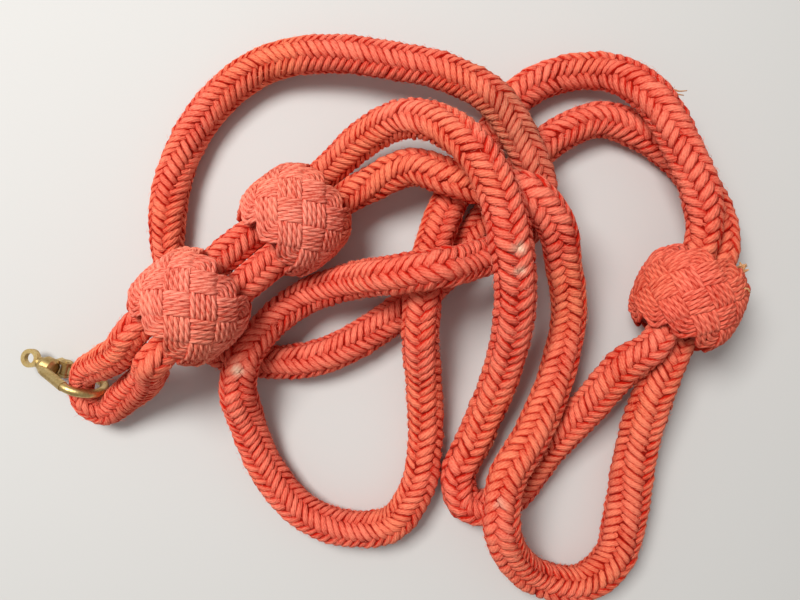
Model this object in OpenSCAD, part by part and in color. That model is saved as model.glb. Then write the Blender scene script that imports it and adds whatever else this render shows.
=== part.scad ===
// Lanyard of plaited worsted cord: one endless cord doubled on itself, three woven knots
// that slide along the doubled strands, and a small brass snap hook on the end bight.
// Millimetres, +Z up, the lanyard lies on a floor at z = 0.

/* [Cord] */
// Diameter of the plaited cord where nothing presses on it
cord_d = 9.5; // [9:0.1:9.5]
// Diameter of the cotton core inside the plaited cover
core_d = 4.5; // [3.5:0.1:5]
// Share of its diameter that a strand keeps inside a knot
knot_squeeze = 0.8; // [0.76:0.01:0.8]
// Number of flat sides round the cord
cord_sides = 12; // [8:2:12]

/* [Knots] */
// Outside diameter of a knot at its middle
knot_d = 25.5; // [25:0.1:25.6]
// Radius of the barrel curve along a knot
knot_curve = 28; // [27:0.5:34]
// Bights round the rim of a knot
bights = 9; // [8, 9]
// Width of the woven band
band_w = 4; // [3.4:0.1:4]
// Thickness of the woven band
band_t = 0.9; // [0.6:0.1:0.9]
// Length of the padded sleeve inside a knot
mouse_len = 18; // [14:0.5:18]

/* [Snap hook] */
// Diameter of the hook's bar
hook_bar_d = 2.2; // [1.8:0.1:2.3]
// Radius from the middle of the hook's bend to the middle of its bar
hook_bend_r = 5.4; // [5.3:0.05:5.5]
// Diameter of the round bulb that holds the swivel
neck_d = 5; // [4.6:0.1:5]
// Diameter of the gate's rivet
rivet_d = 1.2; // [1:0.1:1.4]
// Thickness of the gate's bar
gate_t = 1.6; // [1.2:0.1:1.7]
// Diameter of the thumb boss on the gate
boss_d = 2.8; // [2.4:0.1:2.8]
// Diameter of the hole in the swivel eye
eye_hole_d = 2.7; // [2.2:0.1:2.9]
// Thickness of the swivel eye
eye_t = 1.4; // [1:0.1:1.6]

/* [Hidden] */
$fn = 48;

wool = "#c4402c";
knot_wool = "#cf5540";
cotton = "#e6cdb0";
felt = "#b5412f";
brass = "#c9a550";
spring_steel = "#8d8f90";

// Knot centres, and the direction of each knot's axis
hook_knot_at = [-41, 4, 22];
middle_knot_at = [-18, 25, 14.5];
neck_knot_at = [78, 6, 13];
upper_axis = unit(middle_knot_at - hook_knot_at);
neck_axis = [cos(65), sin(65), 0];
neck_roll = 30;
// A strand leaves a knot straight for this far from the knot's centre
straight = 15;
strand_r = knot_squeeze * cord_d / 2;
strand_off = strand_r + 0.1;
leads = 5;
weave = 0.76;
band_mid_r = knot_d / 2 - weave - band_t / 2;
band_reach = 9.8;
mouse_gap = 0.35;
mouse_r = band_mid_r - weave - band_t / 2 - mouse_gap;

// Routes of the cord between knots: x, y, height of the underside above the floor,
// and the share of the cord's diameter left where something presses on it
bight_route = [
  [-58, -5.5, 15.5, 0.9],
  [-65.5, -9.2, 9.5, 0.9],
  [-71, -12.4, 6.5, 0.75],
  [-73, -16.2, 5, 0.6],
  [-72.6, -20.6, 4, 0.65],
  [-68.2, -23.8, 1.6, 0.75],
  [-60.6, -19.6, 3.4, 0.88],
  [-53, -12.8, 11, 0.9]
];
over_route = [
  [-1, 45, 9.5],
  [8, 48, 15],
  [16.5, 45.5, 20],
  [24, 39, 23.5],
  [29, 30, 24.5],
  [32, 19, 23.5],
  [34, 5.5, 18],
  [33, -10.5, 8],
  [27, -29, 1.5],
  [22.5, -41.5, 0],
  [24, -46.5, 0],
  [28.5, -48, 0],
  [35, -45.5, 0],
  [44.5, -34, 0.5],
  [55.5, -21, 3.5],
  [64, -9.5, 8.5]
];
under_route = [
  [1.5, 35, 6],
  [10, 38, 8.5],
  [19.5, 35, 12],
  [29.5, 32, 13],
  [37.5, 30, 18],
  [43, 24.5, 16.5],
  [47, 14.5, 11],
  [49.5, 2, 6],
  [47, -12, 5],
  [40, -27.5, 8],
  [33, -39, 10.5],
  [32, -48, 10.5],
  [36, -59, 5],
  [44.5, -66.5, 0],
  [54, -67.5, 0],
  [61.5, -62, 0],
  [65.5, -48.5, 0],
  [67.5, -34, 1],
  [72, -15.5, 5]
];
neck_route = [
  [80.5, 29.5, 11],
  [76, 41.5, 11],
  [68.5, 55.5, 9.5],
  [60, 63.5, 2.5],
  [48.5, 63.5, 0],
  [39, 59, 0],
  [31, 48, 0],
  [23, 36, 0],
  [17.5, 24.5, 6.5],
  [13.5, 9, 11],
  [12.5, -0.5, 10.5],
  [13.5, -16, 3.5],
  [14, -30.5, 0],
  [11.5, -44, 0],
  [5.5, -52, 0],
  [-5, -53.5, 0],
  [-16.5, -49.5, 0],
  [-26.5, -38.5, 0],
  [-31.5, -25, 2.5],
  [-32.5, -16, 7.5],
  [-30.8, -9, 9.5, 0.92],
  [-26, -1.5, 6.5, 0.92],
  [-17, 6, 2.5],
  [-5, 10, 8],
  [7.5, 11.5, 19],
  [15, 12.5, 21],
  [24, 14.5, 15.5],
  [34, 19, 9.5],
  [40.5, 26.5, 5],
  [41.5, 32.5, 8.5],
  [39.5, 38.5, 10.5],
  [36.5, 45, 10.5],
  [31, 53.5, 10.5],
  [20, 61, 8],
  [5.5, 65, 6],
  [-10.5, 67.5, 4],
  [-27.5, 65.5, 1],
  [-41, 55.5, 0],
  [-49.5, 41, 0],
  [-52.5, 25, 0],
  [-52, 14, 0, 0.82],
  [-47, 2.5, 0, 0.82],
  [-41.5, -6, 0],
  [-31, -10, 0, 0.9],
  [-17, -10, 0],
  [7.5, 2.5, 0],
  [18, 11.5, 0],
  [33, 31, 0],
  [40.5, 41, 0],
  [48.5, 48, 0],
  [59, 52, 0],
  [69, 49, 0],
  [80, 41, 0],
  [87.5, 29, 1.5]
];

// Place of the snap hook: its bend hangs on the bight at snap_at
snap_at = [-72.8, -15.8, 5 + 0.3 * cord_d];
snap_turn = [-12, 10, 157];
snap_seat = [0.4, 0, -0.1];
spine_start = 73;
nose_end = 295;
bend_start = hook_bend_r * [cos(spine_start), 0, sin(spine_start)];
nose = hook_bend_r * [cos(nose_end), 0, sin(nose_end)];
pivot = [7.6, 0, -2.8];
gate_dir = unit(nose - pivot);
gate_tilt = atan2(-gate_dir.z, gate_dir.x);
gate_gap = 0.4;
gate_len = norm(nose - pivot) - hook_bar_d / 2 - gate_gap;
spine_len = 8.2;
spine_taper = 3;
// Round neck along the hook, the stem that turns in it, and the room between them
neck_from = 9.6;
neck_to = 12.6;
swivel_gap = 0.05;
stem_r = 1;
head_r = 1.5;
head_t = 0.7;
head_from = neck_from - 0.2 - head_t;
collar_from = neck_to + 0.15;
collar_t = 0.55;
eye_r = 2.4;
eye_x = 16;
// Ears for the rivet: place and size of each, and the gate's parts between them
ear_y = 1.65;
ear_t = 0.8;
ear_r = 1.4;
ear_len = 2.4;
ear_h = 2.2;
knuckle_r = 1.15;
knuckle_w = 2.4;
spring_room_r = 1.05;
spring_room_w = 1.1;
gate_w = 2;
boss_at = [0.9, 0, -1.9];

function unit(v) = v / norm(v);

// Direction across the two strands inside a knot
function across(axis, roll) =
  let (level = unit([-axis.y, axis.x, 0]))
  cos(roll) * level + sin(roll) * cross(axis, level);

// A ring of the cord on its way through a knot: centre and radius
function in_knot(at, axis, roll, along, side) =
  [at + axis * along + across(axis, roll) * side * strand_off, strand_r];

// A ring of the cord at a route point: centre and radius
function at_route(p) =
  let (r = (is_undef(p[3]) ? 1 : p[3]) * cord_d / 2)
  [[p.x, p.y, p.z + r], r];

function rings(first, route, last) =
  concat(first, [for (p = route) at_route(p)], last);

function heading(line, i) =
  unit(line[min(i + 1, len(line) - 1)][0] - line[max(i - 1, 0)][0]);

// Points round one ring, square to the cord's direction
function ring_points(line, i, share, gap) =
  let (t = heading(line, i))
  let (u = unit(cross([0, 0, 1], t)))
  let (v = cross(t, u))
  let (r = line[i][1] * share - gap)
  [for (k = [0 : cord_sides - 1])
    line[i][0] + r * (cos(360 * k / cord_sides) * u + sin(360 * k / cord_sides) * v)];

function skin(n, m, start, turned) =
  [for (i = [0 : n - 2], k = [0 : m - 1])
    let (a = start + i * m + k)
    let (b = start + i * m + (k + 1) % m)
    each turned ? [[a, b + m, b], [a, a + m, b + m]] : [[a, b, b + m], [a, b + m, a + m]]];

// Hollow plaited cover along a line of rings
module cover(line) {
  n = len(line);
  m = cord_sides;
  inner = n * m;
  share = core_d / cord_d;
  ends = [for (k = [0 : m - 1])
    let (j = (k + 1) % m)
    let (z = (n - 1) * m)
    each [
      [k, j, inner + j],
      [k, inner + j, inner + k],
      [z + k, inner + z + j, z + j],
      [z + k, inner + z + k, inner + z + j]
    ]];
  color(wool)
  polyhedron(
    points = concat(
      [for (i = [0 : n - 1]) each ring_points(line, i, 1, 0)],
      [for (i = [0 : n - 1]) each ring_points(line, i, share, 0)]
    ),
    faces = concat(skin(n, m, 0, true), skin(n, m, inner, false), ends)
  );
}

// Solid cotton core along a line of rings
module core(line) {
  n = len(line);
  m = cord_sides;
  color(cotton)
  polyhedron(
    points = [for (i = [0 : n - 1]) each ring_points(line, i, core_d / cord_d, 0.05)],
    faces = concat(
      skin(n, m, 0, true),
      [[for (k = [0 : m - 1]) k]],
      [[for (k = [m - 1 : -1 : 0]) (n - 1) * m + k]]
    )
  );
}

function hook_end(side, along) = in_knot(hook_knot_at, upper_axis, 0, along, side);
function middle_end(side, along) = in_knot(middle_knot_at, upper_axis, 0, along, side);
function neck_end(side, along) = in_knot(neck_knot_at, neck_axis, neck_roll, along, side);

bight_line = rings(
  [hook_end(1, 0), hook_end(1, -straight)],
  bight_route,
  [hook_end(-1, -straight), hook_end(-1, 0)]
);
upper_line = [hook_end(1, 0), middle_end(1, 0)];
lower_line = [hook_end(-1, 0), middle_end(-1, 0)];
over_line = rings(
  [middle_end(1, 0), middle_end(1, straight)],
  over_route,
  [neck_end(1, -straight), neck_end(1, 0)]
);
under_line = rings(
  [middle_end(-1, 0), middle_end(-1, straight)],
  under_route,
  [neck_end(-1, -straight), neck_end(-1, 0)]
);
neck_line = rings(
  [neck_end(1, 0), neck_end(1, straight)],
  neck_route,
  [neck_end(-1, straight), neck_end(-1, 0)]
);

module hook_bight_cover() { cover(bight_line); }
module hook_bight_core() { core(bight_line); }
module link_upper_cover() { cover(upper_line); }
module link_upper_core() { core(upper_line); }
module link_lower_cover() { cover(lower_line); }
module link_lower_core() { core(lower_line); }
module over_leg_cover() { cover(over_line); }
module over_leg_core() { core(over_line); }
module under_leg_cover() { cover(under_line); }
module under_leg_core() { core(under_line); }
module neck_loop_cover() { cover(neck_line); }
module neck_loop_core() { core(neck_line); }

module at_knot(at, axis, roll) {
  translate(at)
  rotate([0, acos(axis.z), atan2(axis.y, axis.x)])
  rotate([0, 0, roll])
  children();
}

// Radius of the barrel on which the band is woven, at a height along the knot
function barrel_r(z) = band_mid_r - knot_curve + sqrt(knot_curve * knot_curve - z * z);

// The band runs from rim to rim and passes over and under at every crossing
function band_centre(q) =
  let (pass = floor(q / leads))
  let (m = q - pass * leads)
  let (z = band_reach * (1 - 2 * m / leads) * (pass % 2 == 0 ? 1 : -1))
  let (nearest = round(m))
  let (lift = nearest == 0 || nearest == leads ? 0 : weave * (nearest % 2 == 0 ? 1 : -1))
  let (r = barrel_r(z) + lift)
  let (f = q * 180 / bights)
  [r * cos(f), r * sin(f), z];

module turks_head() {
  steps = 2 * bights * leads;
  q = [for (i = [0 : steps - 1]) each [i + 0.3, i + 0.7]];
  n = len(q);
  line = [for (v = q) band_centre(v)];
  points = [for (i = [0 : n - 1])
    let (slope = asin(line[i].z / knot_curve))
    let (out = unit([line[i].x, line[i].y, 0]) * cos(slope) + [0, 0, sin(slope)])
    let (t = unit(line[(i + 1) % n] - line[(i + n - 1) % n]))
    let (side = unit(cross(out, t)))
    let (up = cross(t, side))
    each [
      line[i] + side * band_w / 2 + up * band_t / 2,
      line[i] - side * band_w / 2 + up * band_t / 2,
      line[i] - side * band_w / 2 - up * band_t / 2,
      line[i] + side * band_w / 2 - up * band_t / 2
    ]];
  faces = [for (i = [0 : n - 1], k = [0 : 3])
    let (a = i * 4 + k)
    let (b = i * 4 + (k + 1) % 4)
    let (c = ((i + 1) % n) * 4 + (k + 1) % 4)
    let (d = ((i + 1) % n) * 4 + k)
    each [[a, b, c], [a, c, d]]];
  color(knot_wool)
  polyhedron(points = points, faces = faces);
}

// Padded sleeve under the band, with a tunnel for two strands
module mouse() {
  bend = knot_curve - band_mid_r + mouse_r;
  tunnel_r = strand_r + 0.2;
  color(felt)
  difference() {
    rotate_extrude()
    intersection() {
      translate([mouse_r - bend, 0])
      circle(r = bend, $fn = 120);
      translate([0, -mouse_len / 2])
      square([mouse_r + 1, mouse_len]);
    }
    translate([0, strand_off, 0])
    cylinder(r = tunnel_r, h = mouse_len + 2, center = true);
    translate([0, -strand_off, 0])
    cylinder(r = tunnel_r, h = mouse_len + 2, center = true);
    cube([2 * tunnel_r, 2 * strand_off, mouse_len + 2], center = true);
  }
}

module hook_knot_weave() { at_knot(hook_knot_at, upper_axis, 0) turks_head(); }
module hook_knot_mouse() { at_knot(hook_knot_at, upper_axis, 0) mouse(); }
module middle_knot_weave() { at_knot(middle_knot_at, upper_axis, 0) turks_head(); }
module middle_knot_mouse() { at_knot(middle_knot_at, upper_axis, 0) mouse(); }
module neck_knot_weave() { at_knot(neck_knot_at, neck_axis, neck_roll) turks_head(); }
module neck_knot_mouse() { at_knot(neck_knot_at, neck_axis, neck_roll) mouse(); }

module at_snap() {
  translate(snap_at)
  rotate(snap_turn)
  translate(snap_seat)
  children();
}

// Cylinder along the hook's length from x to x
module along_x(x0, x1, r) {
  translate([x0, 0, 0])
  rotate([0, 90, 0])
  cylinder(r = r, h = x1 - x0);
}

// Cylinder across the hook through a point
module across_y(at, r, w) {
  translate(at)
  rotate([90, 0, 0])
  cylinder(r = r, h = w, center = true);
}

module ear(y) {
  difference() {
    union() {
      across_y(pivot + [0, y, 0], ear_r, ear_t);
      translate([pivot.x, y - ear_t / 2, pivot.z + ear_r - ear_h])
      cube([ear_len, ear_t, ear_h]);
    }
    across_y(pivot + [0, y, 0], rivet_d / 2, 2 * ear_t);
  }
}

// Bulb with the stem's hole and the recess for its head, turned about the hook's length
module bulb() {
  rotate([0, 90, 0])
  rotate_extrude()
  polygon([
    [head_r + 0.15, head_from - 0.2],
    [head_r + 0.35, head_from - 0.2],
    [neck_d / 2, neck_from - 0.4],
    [neck_d / 2, neck_to - 1.2],
    [stem_r + 0.75, neck_to],
    [stem_r + swivel_gap, neck_to],
    [stem_r + swivel_gap, neck_from],
    [head_r + 0.15, neck_from]
  ]);
}

// One casting: bend, straight spine that tapers into the bulb, and the two ears for the gate
module snap_hook() {
  color(brass)
  at_snap()
  union() {
    rotate([90, 0, 0])
    rotate([0, 0, spine_start])
    rotate_extrude(angle = nose_end - spine_start)
    translate([hook_bend_r, 0])
    circle(d = hook_bar_d);
    translate(nose)
    sphere(d = hook_bar_d + 0.3);
    translate(bend_start)
    rotate([0, 180 - spine_start, 0])
    translate([0, 0, -0.4])
    cylinder(d = hook_bar_d + 0.3, h = spine_len);
    translate(bend_start)
    rotate([0, 180 - spine_start, 0])
    translate([0, 0, spine_len - 0.6])
    cylinder(d1 = hook_bar_d + 0.2, d2 = 0.5 * hook_bar_d, h = spine_taper);
    bulb();
    ear(ear_y);
    ear(-ear_y);
  }
}

// Lever with two knuckles on the rivet, a bar that meets the nose and a thumb boss
module snap_gate() {
  color(brass)
  at_snap()
  difference() {
    union() {
      across_y(pivot, knuckle_r, knuckle_w);
      translate(pivot)
      rotate([0, gate_tilt, 0])
      translate([0, -gate_w / 2, -gate_t / 2])
      cube([gate_len, gate_w, gate_t]);
      translate(pivot + boss_at)
      sphere(d = boss_d);
    }
    across_y(pivot, rivet_d / 2 + swivel_gap, 2 * knuckle_w);
    across_y(pivot, spring_room_r, spring_room_w);
  }
}

module gate_rivet() {
  color(brass)
  at_snap()
  across_y(pivot, rivet_d / 2, 2 * ear_y + ear_t + 0.2);
}

// Torsion spring on the rivet between the gate's knuckles
module gate_spring() {
  turns = 3;
  per_turn = 14;
  n = turns * per_turn + 1;
  wire = 0.12;
  coil_w = spring_room_w - 0.3;
  coil_r = (rivet_d / 2 + spring_room_r) / 2;
  m = 6;
  points = [for (i = [0 : n - 1], k = [0 : m - 1])
    let (f = 360 * i / per_turn)
    let (g = 360 * k / m)
    [
      pivot.x + (coil_r + wire * cos(g)) * cos(f),
      coil_w * (i / (n - 1) - 0.5) + wire * sin(g),
      pivot.z + (coil_r + wire * cos(g)) * sin(f)
    ]];
  color(spring_steel)
  at_snap()
  polyhedron(
    points = points,
    faces = concat(
      skin(n, m, 0, false),
      [[for (k = [m - 1 : -1 : 0]) k]],
      [[for (k = [0 : m - 1]) (n - 1) * m + k]]
    )
  );
}

// Flat eye on a round stem that turns in the neck and is headed inside it
module swivel_eye() {
  color(brass)
  at_snap()
  rotate([-snap_turn.x, 0, 0])
  difference() {
    union() {
      along_x(head_from, head_from + head_t, head_r);
      along_x(head_from, eye_x - eye_r + 0.2, stem_r);
      along_x(collar_from, collar_from + collar_t, head_r);
      translate([eye_x, 0, 0])
      cylinder(r = eye_r, h = eye_t, center = true);
    }
    translate([eye_x, 0, 0])
    cylinder(d = eye_hole_d, h = eye_t + 4, center = true);
  }
}

hook_bight_cover();
hook_bight_core();
link_upper_cover();
link_upper_core();
link_lower_cover();
link_lower_core();
over_leg_cover();
over_leg_core();
under_leg_cover();
under_leg_core();
neck_loop_cover();
neck_loop_core();
hook_knot_weave();
hook_knot_mouse();
middle_knot_weave();
middle_knot_mouse();
neck_knot_weave();
neck_knot_mouse();
snap_hook();
snap_gate();
gate_rivet();
gate_spring();
swivel_eye();
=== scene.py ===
import math
from collections import namedtuple

import bpy
import numpy as np
from mathutils import Matrix, Vector


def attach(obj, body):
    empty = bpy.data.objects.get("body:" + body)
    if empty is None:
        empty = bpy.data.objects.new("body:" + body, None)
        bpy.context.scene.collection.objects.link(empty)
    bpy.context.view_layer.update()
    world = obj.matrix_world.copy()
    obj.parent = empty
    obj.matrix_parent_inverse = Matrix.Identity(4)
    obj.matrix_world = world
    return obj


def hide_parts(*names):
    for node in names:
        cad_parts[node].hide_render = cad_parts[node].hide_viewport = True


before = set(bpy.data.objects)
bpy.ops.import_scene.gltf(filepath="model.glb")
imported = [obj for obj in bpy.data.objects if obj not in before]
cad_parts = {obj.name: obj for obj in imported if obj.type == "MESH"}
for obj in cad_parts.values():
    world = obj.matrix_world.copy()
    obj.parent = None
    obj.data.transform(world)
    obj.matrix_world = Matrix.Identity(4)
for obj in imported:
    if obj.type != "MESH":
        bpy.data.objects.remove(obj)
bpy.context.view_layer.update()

# Camera: straight above the lanyard and close, so that what stands higher comes out larger.
MM = 0.001
scene = bpy.context.scene
scene.view_settings.view_transform = "Standard"
lens = bpy.data.cameras.new("overhead")
lens.sensor_width = 36.0
lens.lens = 29.7
lens.clip_start = 0.005
overhead = bpy.data.objects.new("overhead", lens)
overhead.location = (7.5 * MM, 5.5 * MM, 175 * MM)
scene.collection.objects.link(overhead)
scene.camera = overhead

# Plaited cord: twelve plied worsted yarns round a cotton core, each over two and under two, so
# that slanting ribs stand in six columns and meet in seams. Its ends are sewn together inside a
# knot, and the three knots part it into runs. Sizes are in millimetres.
CORD_R = 4.75
Knot = namedtuple("Knot", "at axis roll")
hook_knot_at = np.array([-41, 4, 22.0])
middle_knot_at = np.array([-18, 25, 14.5])
knot_gap = np.linalg.norm(middle_knot_at - hook_knot_at)
upper_axis = (middle_knot_at - hook_knot_at) / knot_gap
neck_lean = math.radians(65)
neck_axis = np.array([math.cos(neck_lean), math.sin(neck_lean), 0])
knots = {
    "hook_knot": Knot(hook_knot_at, upper_axis, 0),
    "middle_knot": Knot(middle_knot_at, upper_axis, 0),
    "neck_knot": Knot(np.array([78, 6, 13.0]), neck_axis, 30),
}

# In a knot the two strands lie side by side, squeezed thin. Past its mouth they swell and part.
STRAND_R = 3.8
STRAND_OFF = 3.9
MOUTH = 10
SWELL = 0.08
PARTING = 0.6


def strand(knot, side, *places):
    at, axis, roll = knots[knot]
    level = np.array([-axis[1], axis[0], 0]) / math.hypot(axis[0], axis[1])
    upright = np.cross(axis, level)
    turned = math.cos(math.radians(roll)) * level + math.sin(math.radians(roll)) * upright
    rows = []
    for along in places:
        swell = max(0, abs(along) - MOUTH) * SWELL
        centre = at + axis * along + turned * side * (STRAND_OFF + PARTING * swell)
        rows.append([*centre, STRAND_R + swell])
    return rows


# The routes between the knots: x, y, the height of the cord's underside over the floor and, where
# it is squeezed or lies fuller than usual, its share of the usual thickness.
bight_route = [
    (-57.8, -6.2, 15.5, 0.94), (-65.2, -10, 9.5, 0.92), (-71, -12.6, 6.5, 0.75), (-73, -16.2, 5, 0.62),
    (-72.6, -20.4, 4, 0.66), (-69.2, -23, 1.6, 0.78), (-61.8, -18.6, 3.4, 0.94), (-53.2, -12.6, 11, 0.94),
]
over_route = [
    (-1, 45, 9.5), (8, 48, 15), (16.5, 45.5, 20), (24, 39, 23.5), (29, 30, 24.5, 1.03),
    (32, 19, 23.5, 1.06), (34, 5.5, 18, 1.06), (33, -10.5, 8, 1.02), (27, -29, 1.5),
    (22.5, -41.5, 0), (24, -46.5, 0), (28.5, -48, 0), (35, -45.5, 0), (44.5, -34, 0.5),
    (55.5, -21, 3.5), (64, -9.5, 8.5),
]
under_route = [
    (1.5, 35, 6), (10, 38, 8.5), (19.5, 35, 12), (29.5, 32, 13), (37.5, 30, 18), (43, 24.5, 16.5),
    (47, 14.5, 11, 0.94), (49.5, 2, 6, 0.94), (47, -12, 5, 0.97), (40, -27.5, 8), (33, -39, 10.5),
    (32, -48, 10.5), (36, -59, 5), (44.5, -66.5, 0), (54, -67.5, 0), (61.5, -62, 0, 1.08),
    (65.5, -48.5, 0, 1.16), (67.5, -34, 1, 1.16), (72, -15.5, 5, 1.06),
]
neck_route = [
    (80.5, 29.5, 11), (76, 41.5, 11), (68.5, 55.5, 9.5), (60, 63.5, 2.5), (48.5, 63.5, 0), (39, 59, 0),
    (31, 48, 0), (23, 36, 0), (17.5, 24.5, 6.5), (13.5, 9, 11), (12.5, -0.5, 10.5), (13.5, -16, 3.5),
    (14, -30.5, 0), (11.5, -44, 0), (5.5, -52, 0), (-5, -53.5, 0), (-16.5, -49.5, 0),
    (-26.5, -38.5, 0), (-31.5, -25, 2.5), (-32.5, -16, 7.5), (-30.8, -9, 9.5, 0.92),
    (-26, -1.5, 6.5, 0.92), (-17, 6, 2.5), (-5, 10, 8), (7.5, 11.5, 19), (15, 12.5, 21),
    (24, 14.5, 15.5), (34, 19, 9.5), (40.5, 26.5, 5), (41.5, 32.5, 8.5), (39.5, 38.5, 10.5),
    (36.5, 45, 10.5), (31, 53.5, 10.5), (20, 61, 8), (5.5, 65, 6), (-10.5, 67.5, 4),
    (-27.5, 65.5, 1), (-41, 55.5, 0), (-49.5, 41, 0), (-52.5, 25, 0), (-52, 14, 0, 0.82),
    (-47, 2.5, 0, 0.82), (-41.5, -6, 0), (-31, -10, 0, 0.9), (-17, -10, 0), (7.5, 2.5, 0),
    (18, 11.5, 0), (33, 31, 0), (40.5, 41, 0), (48.5, 48, 0), (59, 52, 0), (69, 49, 0),
    (80, 41, 0), (87.5, 29, 1.5),
]


def on_route(rows):
    out = []
    for x, y, lift, *share in rows:
        r = (share[0] if share else 1.0) * CORD_R
        out.append([x, y, lift + r, r])
    return out


# A smooth run through such places, at even stations of its own length: its middle, the directions
# along it, level across it and up from it, its radius, and which way it bends.
Line = namedtuple("Line", "along centre heading side up radius curve")
SAMPLE = 0.25
STATION = 0.5


def smooth_line(rows):
    rows = np.array(rows, float)
    gap = np.linalg.norm(np.diff(rows[:, :3], axis=0), axis=1)
    slope = np.diff(rows, axis=0) / gap[:, None]
    inner = (slope[1:] * gap[:-1, None] + slope[:-1] * gap[1:, None]) / (gap[1:] + gap[:-1])[:, None]
    tangent = np.vstack([slope[:1], inner, slope[-1:]])
    fine = []
    for i, span in enumerate(gap):
        f = np.linspace(0, 1, max(4, int(span / SAMPLE)), endpoint=False)[:, None]
        fine.append(
            (1 + 2 * f) * (1 - f) ** 2 * rows[i]
            + f * (1 - f) ** 2 * span * tangent[i]
            + f * f * (3 - 2 * f) * rows[i + 1]
            + f * f * (f - 1) * span * tangent[i + 1]
        )
    fine = np.vstack(fine + [rows[-1:]])
    fine[:, 2] = np.maximum(fine[:, 2], fine[:, 3])
    run = np.concatenate([[0], np.cumsum(np.linalg.norm(np.diff(fine[:, :3], axis=0), axis=1))])
    along = np.linspace(0, run[-1], int(run[-1] / STATION) + 1)
    centre = np.stack([np.interp(along, run, fine[:, c]) for c in range(3)], 1)
    heading = np.gradient(centre, along, axis=0)
    heading /= np.linalg.norm(heading, axis=1)[:, None]
    side = np.cross([0, 0, 1], heading)
    side /= np.linalg.norm(side, axis=1)[:, None]
    curve = np.gradient(heading, along, axis=0)
    radius = np.interp(along, run, fine[:, 3])
    return Line(along, centre, heading, side, np.cross(heading, side), radius, curve)


runs = {
    "hook_end_cord": smooth_line(
        strand("middle_knot", 1, 0, -knot_gap / 2)
        + strand("hook_knot", 1, 0, -13)
        + on_route(bight_route)
        + strand("hook_knot", -1, -14, 0)
        + strand("middle_knot", -1, -knot_gap / 2, 0)
    ),
    "over_leg_cord": smooth_line(
        strand("middle_knot", 1, 0, 15) + on_route(over_route) + strand("neck_knot", 1, -15, 0)
    ),
    "under_leg_cord": smooth_line(
        strand("middle_knot", -1, 0, 15) + on_route(under_route) + strand("neck_knot", -1, -15, 0)
    ),
    "neck_loop_cord": smooth_line(
        strand("neck_knot", 1, 0, 15) + on_route(neck_route) + strand("neck_knot", -1, 15, 0)
    ),
}

# Where two strands press on each other, both give way a little and their naps mesh. A strand
# doesn't press on its own bend, nor inside a knot. EASE is in stations.
GIVE = 0.94
NAP = 0.2
OWN_BEND = 20
HELD = 18
EASE = 4
for name, line in runs.items():
    held = np.minimum(line.along, line.along[-1] - line.along) < HELD
    for other_name, other in runs.items():
        apart = np.linalg.norm(line.centre[:, None] - other.centre[None, ::3], axis=2)
        if other_name == name:
            apart[np.abs(line.along[:, None] - other.along[None, ::3]) < OWN_BEND] = np.inf
        apart[held] = np.inf
        share = line.radius[:, None] / (line.radius[:, None] + other.radius[None, ::3])
        room = (apart * share).min(1)
        pressed = np.clip(room + NAP, GIVE * line.radius, line.radius)
        over = np.ones(2 * EASE + 1) / (2 * EASE + 1)
        line.radius[:] = np.convolve(np.pad(pressed, EASE, "edge"), over, "valid")

# How the plait lies along each run: the distance from its start, how far round the cord a column
# has turned there in degrees, and the pitch of its ribs.
plait_lie = {
    "hook_end_cord": [
        (15, 95, 2.0), (45, 45, 1.8), (65, 60, 1.7), (95, 50, 1.7), (115, 15, 1.8), (155, -20, 2.0),
    ],
    "over_leg_cord": [
        (45, -28, 1.8), (55, 10, 1.9), (65, 24, 2.1), (80, 30, 2.3), (95, 31, 2.4), (110, 32, 2.6),
        (145, 33, 2.6), (155, 45, 2.1), (168, 80, 1.9), (200, 90, 2.1),
    ],
    "under_leg_cord": [
        (15, 48, 1.9), (27, -8, 2.1), (45, 3, 2.2), (58, -12, 2.2), (70, -12, 2.2), (85, -14, 2.5),
        (100, -14, 2.4), (115, -15, 2.2), (155, -5, 2.2), (175, -10, 2.2), (205, 3, 2.0),
        (225, -20, 2.1), (240, -30, 2.1),
    ],
    "neck_loop_cord": [
        (15, 75, 2.8), (35, 33, 2.4), (55, -8, 2.1), (67, -6, 2.1), (85, 14, 2.2), (130, 22, 2.0),
        (150, 28, 2.1), (165, 41, 2.1), (180, 49, 2.6), (190, 55, 2.6), (200, 62, 2.1), (210, 69, 1.75),
        (230, 68, 1.8), (255, 82, 2.0), (285, 43, 2.0), (305, 61, 2.1), (330, 89, 2.05), (355, 71, 2.0),
        (395, 42, 1.85), (445, 53, 1.9), (475, 72, 1.9), (497, 70, 1.95), (515, 128, 1.95),
        (565, 185, 1.85), (605, 218, 1.85), (665, 267, 2.05), (715, 319, 2.4),
    ],
}
COLUMNS = 6
COLUMN = 2 * math.pi / COLUMNS
EVEN_OVER = int(8 / STATION)


def at_length(line, values, along):
    flat = np.asarray(values).reshape(len(line.along), -1)
    out = np.stack([np.interp(along.ravel(), line.along, flat[:, c]) for c in range(flat.shape[1])], 1)
    return out.reshape(along.shape + np.asarray(values).shape[1:])


def evened(values):
    weight = np.hanning(2 * EVEN_OVER + 3)[1:-1]
    return np.convolve(np.pad(values, EVEN_OVER, "edge"), weight / weight.sum(), "valid")


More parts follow.
